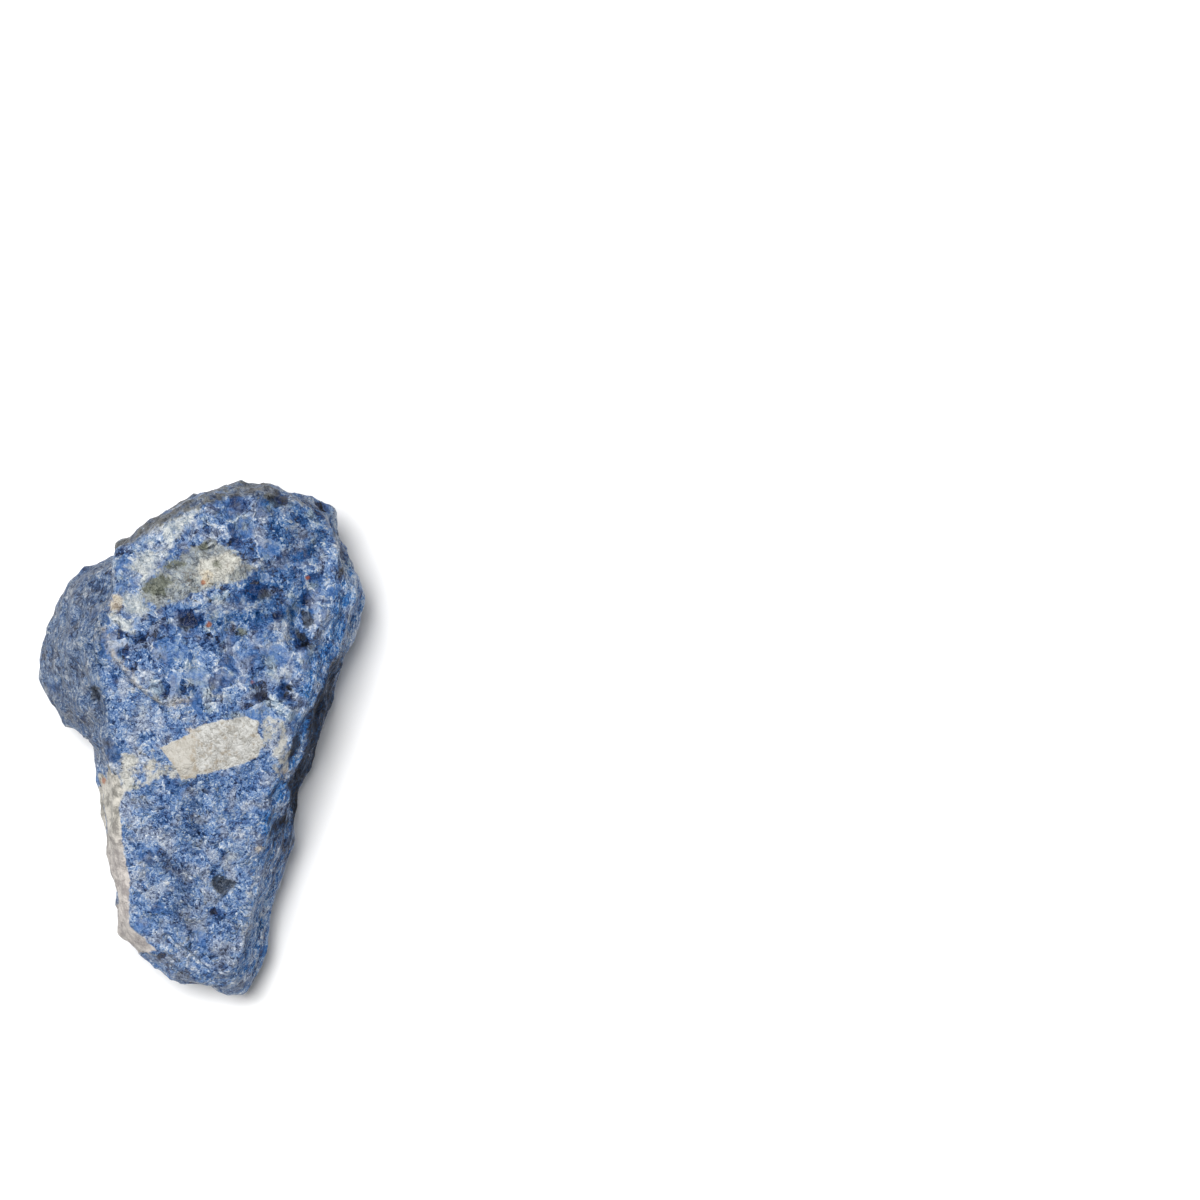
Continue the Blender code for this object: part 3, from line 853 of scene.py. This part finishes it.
# The wall's mark carries painted shade over a darker navy.
is_groove, is_wall = mark("groove", 0.8, 1.2), mark("wall", 0.4, 0.45)
# The underside, out of sight, has a few patches of feldspar too, clear of the dark wall.
off_the_wall = times(sheet.field("under"), sheet.ease(is_wall, 0.0, 0.2, 1.0, 0.0))
is_hidden_pale = times(patches(7.0, 0.56, 0.64), off_the_wall)
print("nodes so far:", len(sheet.tree.nodes))

# %% [markdown]
# Some grains are left glassy and dark by the break: clear sodalite, seen deep into. On the cap about
# half of the shards are, and elsewhere hardly any. A glassy shard has a crisp side, and a soft one where
# it dips under its neighbours. Most are random, and the navy and royal ones that catch the eye are on
# the map.

# %% Glassy grains
FEW, HALF = 0.96, 0.5  # a shard is glassy when its own number is above this, off the cap and on it

threshold = sheet.ease(on_cap, 0.0, 1.0, FEW, HALF)
threshold = sheet.number("ADD", threshold, times(either(is_rim, is_lens), 0.3))
chosen = sheet.ease(sheet.number("SUBTRACT", tone_shard, threshold), -0.01, 0.03)
soft_side = sheet.ease(sheet.number("ADD", seam_shard, times(across_shard, 0.9)), 0.08, 0.26)
chosen = times(times(chosen, soft_side), sheet.ease(shade_shard, 0.0, 0.7, 0.55, 1.0))
placed_shard = either(is_navy, times(is_royal, 0.8))
glassy = either(chosen, placed_shard)
# Painted shading: the across terms make each glassy shard bright on one side and dark on the other.
shard_tone = add_up(
    0.43, swing(shade_shard, 0.26), times(across_shard, 0.45), times(across_broad, 0.2),
    times(is_navy, -0.2), times(is_royal, 0.04))

# %% [markdown]
# Everything else is broken so fine that it looks pale. Its tone drifts, and differs a little from grain
# to grain. The broad grains, and the shards above all on the cap, carry painted shading: the tone rises
# across each, bright on one side and dark on the other. On the cap the shards also have pale seams and
# healed cracks. Over it all go strokes, which are fainter inside a glassy grain and run lengthwise on
# the sides.

# %% Tone
seams = times(sheet.ease(seam_shard, 0.1, 0.5, 1.0, 0.0), sheet.ease(drift, 0.42, 0.58))
# Painted shading here too: the across terms in the cap's sum and in the matrix tone brighten one side of
# each shard and broad grain and darken the other.
cap_only = add_up(
    times(across_shard, 0.45), swing(tone_shard, 0.2), times(across_broad, 0.25), times(long_wisps, 0.13),
    times(seams, 0.13), -0.01)
matrix_tone = add_up(
    0.58, swing(tone_broad, 0.12), swing(tone_shard, 0.08), times(across_broad, 0.2), swing(drift, 0.18),
    times(cap_only, on_cap), times(short_wisps, 0.08))
# The brightest splinters and chips are partly pale specks and partly painted glints. The darkest are dark
# specks.
strokes = add_up(
    extremes(tone_splinter, 0.3, 0.12), extremes(tone_chip, 0.3, 0.17), swing(dust, 0.55),
    scaled(swing(clouds, 1.0), on_cap, 1.0, 0.7), sheet.ease(seam_splinter, 0.0, 0.06, -0.06, 0.0))
strokes = scaled(scaled(strokes, glassy, 1.0, 0.42), on_sides, 1.0, 0.95)
side_strokes = times(sheet.ease(streaks, 0.35, 0.65, -0.12, 0.12), on_sides)
tone = sheet.node("Mix", {0: times(glassy, 0.85), 2: matrix_tone, 3: shard_tone})
# In this sum the wall's term darkens it: partly a darker navy, partly painted shade.
tone = add_up(
    tone, strokes, side_strokes, times(is_line, 0.25), times(is_groove, -0.08), times(is_wall, -0.24),
    times(sheet.field("wear"), 0.1))
print("nodes so far:", len(sheet.tree.nodes))

# %% [markdown]
# The ramp's colours are the stone's own, from the near black of a deep grain to the near white of
# crushed edges.

# %% From tone to colour
ramp = sheet.node("ValToRGB", {0: tone})
stops = [
    (0.0, "#0a0e18"), (0.2, "#182748"), (0.38, "#33496f"), (0.52, "#506a93"), (0.66, "#7085a4"),
    (0.82, "#99a6b8"), (1.0, "#c4c9cf"),
]
elements = ramp.node.color_ramp.elements
while len(elements) < len(stops):
    elements.new(0.5)
for element, (position, code) in zip(elements, stops):
    element.position = position
    element.color = paint(code)

# %% [markdown]
# Tints tell the zones apart, and are easier to match to a photograph than a second ramp for each zone.
# The blue is greyer in patches everywhere and sea-grey in some on the cap. The left flank is a little
# greyer and painted darker: painted shade on a side turned away from the light. The lower groove and the
# peppered band are darker too. The bevel on the right is bluer, and painted lighter against the shade
# its slope gets. The wall below it is almost black: partly a darker navy of its own, partly painted
# shade.

# %% Tints


def tint(colour, mask, saturation, value, hue=0.5):
    """The colour with this saturation and brightness where the mask is one. Hue 0.5 keeps its own hue."""
    return sheet.node("HueSaturation", {
        "Color": colour, "Fac": mask, "Hue": hue, "Saturation": saturation, "Value": value})


colour = ramp
greyness = patches(2.5, 0.42, 0.68, shift=(50, 0, 0))
colour = tint(colour, 1.0, saturation=sheet.ease(greyness, 0.0, 1.0, 1.12, 0.66), value=1.0)
sea_grey = patches(4.0, 0.54, 0.64, shift=(0, 70, 0))
colour = tint(colour, times(sea_grey, on_cap), saturation=0.6, value=0.98, hue=0.478)
colour = tint(colour, times(glassy, 0.8), saturation=1.08, value=0.97, hue=0.503)
# Painted shade on the left flank, which faces away from the light, and a darker groove and peppered band on
# the lower face.
flank_shade_and_dark_groove = either(sheet.field("flank"), times(is_groove, 0.7))
colour = tint(colour, flank_shade_and_dark_groove, saturation=0.95, value=0.68)
# Painted light: the bevel is bluer, and lighter to make up for the shade on its slope.
colour = tint(colour, sheet.field("bevel"), saturation=1.28, value=1.12)
# Painted shade: the wall turned away from the light is tinted almost black, over a darker navy of its own.
colour = tint(colour, is_wall, saturation=1.4, value=0.26)
colour = tint(colour, sheet.field("dusk"), saturation=1.12, value=0.79)

# %% [markdown]
# Other minerals lie over the blue. The pale rim is crushed feldspar, thick and thin in clouds. The lens
# is grey feldspar with olive and milky parts, and brown cracks. The crust at the top end is almost
# black, and the ledge and some spots are stained beige. The black marks are dark grains, and pits where
# grains broke out, whose shade is painted near black.

# %% Minerals in the cap and round it


def lay(colour, mask, strength, dark, light, by=tone):
    """Another mineral over the colour: its own dark and light, by the same tone or one of its own."""
    own = sheet.blend(sheet.ease(by, 0.25, 0.7), paint(dark), paint(light))
    return sheet.blend(times(mask, strength), colour, own)


milkiness = sheet.noise(place, 1.8, detail=3, rough=0.6)
feldspar = add_up(
    0.5, swing(tone_splinter, 0.22), swing(tone_chip, 0.2), swing(dust, 0.4), swing(milkiness, 0.6))
cloudy = patches(3.2, 0.4, 0.56)
colour = lay(colour, scaled(is_rim, cloudy, 0.05, 1.0), 0.85, "#79858f", "#cbcdc8", by=feldspar)
colour = lay(colour, times(is_haze, patchy), 0.6, "#6a7380", "#aab0b2")
colour = lay(colour, scaled(is_weathered, patchy, 0.6, 1.0), 0.9, "#1d1f22", "#565652")
colour = lay(colour, is_lens, 0.7, "#50565a", "#9ea199", by=feldspar)
colour = lay(colour, scaled(is_lens, patchy, 1.0, 0.0), 0.4, "#4a4d49", "#8b8b80", by=feldspar)
colour = lay(colour, is_milky, 0.85, "#85847e", "#c4c3ba", by=feldspar)
lens_cracks = times(is_lens, either(short_wisps, long_wisps))
colour = sheet.blend(times(lens_cracks, 0.6), colour, paint("#5b5044"))
colour = lay(colour, is_olive, 0.85, "#20261f", "#5b5f50")
colour = lay(colour, scaled(is_ledge, patchy, 0.4, 1.0), 0.65, "#6b675d", "#aba08d")
colour = lay(colour, is_beige, 0.75, "#8b7d68", "#c6b9a0")
# Painted shade: the pits where grains broke out are painted near black, along with the black grains.
colour = lay(colour, scaled(is_black, patchy, 0.85, 1.0), 0.95, "#05070c", "#28303d")

# %% [markdown]
# The white feldspar across the middle is a block with a cleaner, warmer part at its left end, brown
# stains, and ragged tails that mix with the blue. The rind on the left is grey, and pinker towards the
# narrow end. Specks of rust come last, because they lie on top.

# %% Feldspar, rind and rust
ragged = either(times(is_tail, patchy), is_hidden_pale)
colour = lay(colour, ragged, 0.9, "#8a8a84", "#b6b5ae", by=feldspar)
stained = patches(1.7, 0.51, 0.64, rough=0.7, shift=(9, 2, 0))
colour = lay(colour, is_vein, 1.0, "#84827c", "#bbbbb8", by=feldspar)
colour = sheet.blend(times(times(is_vein, is_block), 0.65), colour, paint("#a8a399"))
colour = sheet.blend(times(times(is_vein, stained), 0.5), colour, paint("#83735a"))
rind_tone = add_up(
    0.48, swing(sheet.noise(place, 1.8, detail=5, rough=0.65), 1.8), swing(streaks, 0.3), swing(dust, 0.3))
colour = lay(colour, is_rind, 1.0, "#77756f", "#c3bfb6", by=rind_tone)
down_the_map = sheet.node("SeparateXYZ", {0: place}, 1)
pinker = times(is_rind, sheet.ease(down_the_map, -10.0, -18.0))
colour = sheet.blend(times(pinker, 0.35), colour, paint("#aca1a4"))
colour = sheet.blend(times(is_rust, 0.75), colour, paint("#8f4d24"))

# %% [markdown]
# ## Gloss and fine bumps
#
# Fresh sodalite is glassy: each grain's cleavage face is a tiny mirror at its own slant. So each fine
# grain leans the normal its own way, and a bump adds the seams and the dust. Feldspar and the rind are
# duller, and so is the dark wall, where a mirror would only show the pale room.

# %% Surface of the sodalite
dull = either(is_vein, is_rind)
lean = (0.0, 0.0, 0.0)
for grain, share in ((lean_shard, 0.35), (lean_broad, 0.4), (lean_splinter, 0.5), (lean_chip, 0.5)):
    lean = sheet.vector("ADD", lean, sheet.vector("SCALE", grain, share))
lean = sheet.vector("SCALE", lean, sheet.ease(dull, 0.0, 1.0, 1.0, 0.3))
tilted = sheet.vector("NORMALIZE", sheet.vector("ADD", sheet.node("NewGeometry", {}, "Normal"), lean))
height = add_up(
    sheet.ease(seam_broad, 0.0, 0.25, -0.08, 0.0), sheet.ease(seam_splinter, 0.0, 0.12, -0.06, 0.0),
    swing(dust, 0.16), times(swing(streaks, 0.8), on_sides))
bump = sheet.node("Bump", {"Height": height, "Normal": tilted, "Strength": 0.7, "Distance": 0.001})
least_rough = either(times(dull, 0.55), times(is_wall, 0.8))
roughness = either(sheet.ease(tone_splinter, 0.0, 1.0, 0.3, 0.55), least_rough)
surface = sheet.node("BsdfPrincipled", {
    "Base Color": colour, "Roughness": roughness, "Normal": bump, "IOR": 1.48, "Specular IOR Level": 0.32})
output = sheet.tree.nodes.new("ShaderNodeOutputMaterial")
sheet.tree.links.new(surface, output.inputs["Surface"])
mesh.materials.clear()
mesh.materials.append(stone)
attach(skin, "root")
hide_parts("sodalite_stone")
print("nodes in the sodalite:", len(sheet.tree.nodes))

# %% [markdown]
# ## The studio
#
# The photograph has a bare white ground, cut out without a shadow. White paper is the nearest thing to
# it in a real room, and the soft shadow on it shows how the stone lies.

# %% Floor
FLOOR_SIDE = 6.0

floor_mesh = bpy.data.meshes.new("floor")
half = FLOOR_SIDE / 2
corners = [(-half, -half, 0), (half, -half, 0), (half, half, 0), (-half, half, 0)]
floor_mesh.from_pydata(corners, [], [(0, 1, 2, 3)])
floor = bpy.data.objects.new("floor", floor_mesh)
bpy.context.scene.collection.objects.link(floor)
paper = bpy.data.materials.new("pale_paper")
paper.use_nodes = True
paper_shader = paper.node_tree.nodes["Principled BSDF"]
paper_shader.inputs["Base Color"].default_value = (0.86, 0.86, 0.86, 1)
paper_shader.inputs["Roughness"].default_value = 0.9
paper_shader.inputs["Specular IOR Level"].default_value = 0.2
floor_mesh.materials.append(paper)

# %% [markdown]
# The light is soft and comes from above, a little from the left and from up the picture. The top faces
# are bright, and the right wall, turned away from it, is nearly black. One large lamp, a weak one
# opposite and a pale sky give the same light here. The wall's near black is also painted into its
# colour as shade, over a darker navy of its own.

# %% Lights


def lamp(name, hung_at, size, watts):
    """A square lamp that faces the stone. Lengths are in metres."""
    data = bpy.data.lights.new(name, "AREA")
    data.size = size
    data.energy = watts
    hung = bpy.data.objects.new(name, data)
    hung.location = hung_at
    hung.rotation_euler = (-hung.location).to_track_quat("-Z", "Y").to_euler()
    bpy.context.scene.collection.objects.link(hung)


lamp("key", (-0.6, 0.5, 3.0), size=1.4, watts=150)
lamp("fill", (0.7, -0.5, 1.2), size=0.8, watts=1.5)
sky = bpy.data.worlds.new("sky")
sky.use_nodes = True
sky.node_tree.nodes["Background"].inputs["Color"].default_value = (1, 1, 1, 1)
sky.node_tree.nodes["Background"].inputs["Strength"].default_value = 0.16
bpy.context.scene.world = sky
bpy.context.scene.view_settings.view_transform = "Standard"
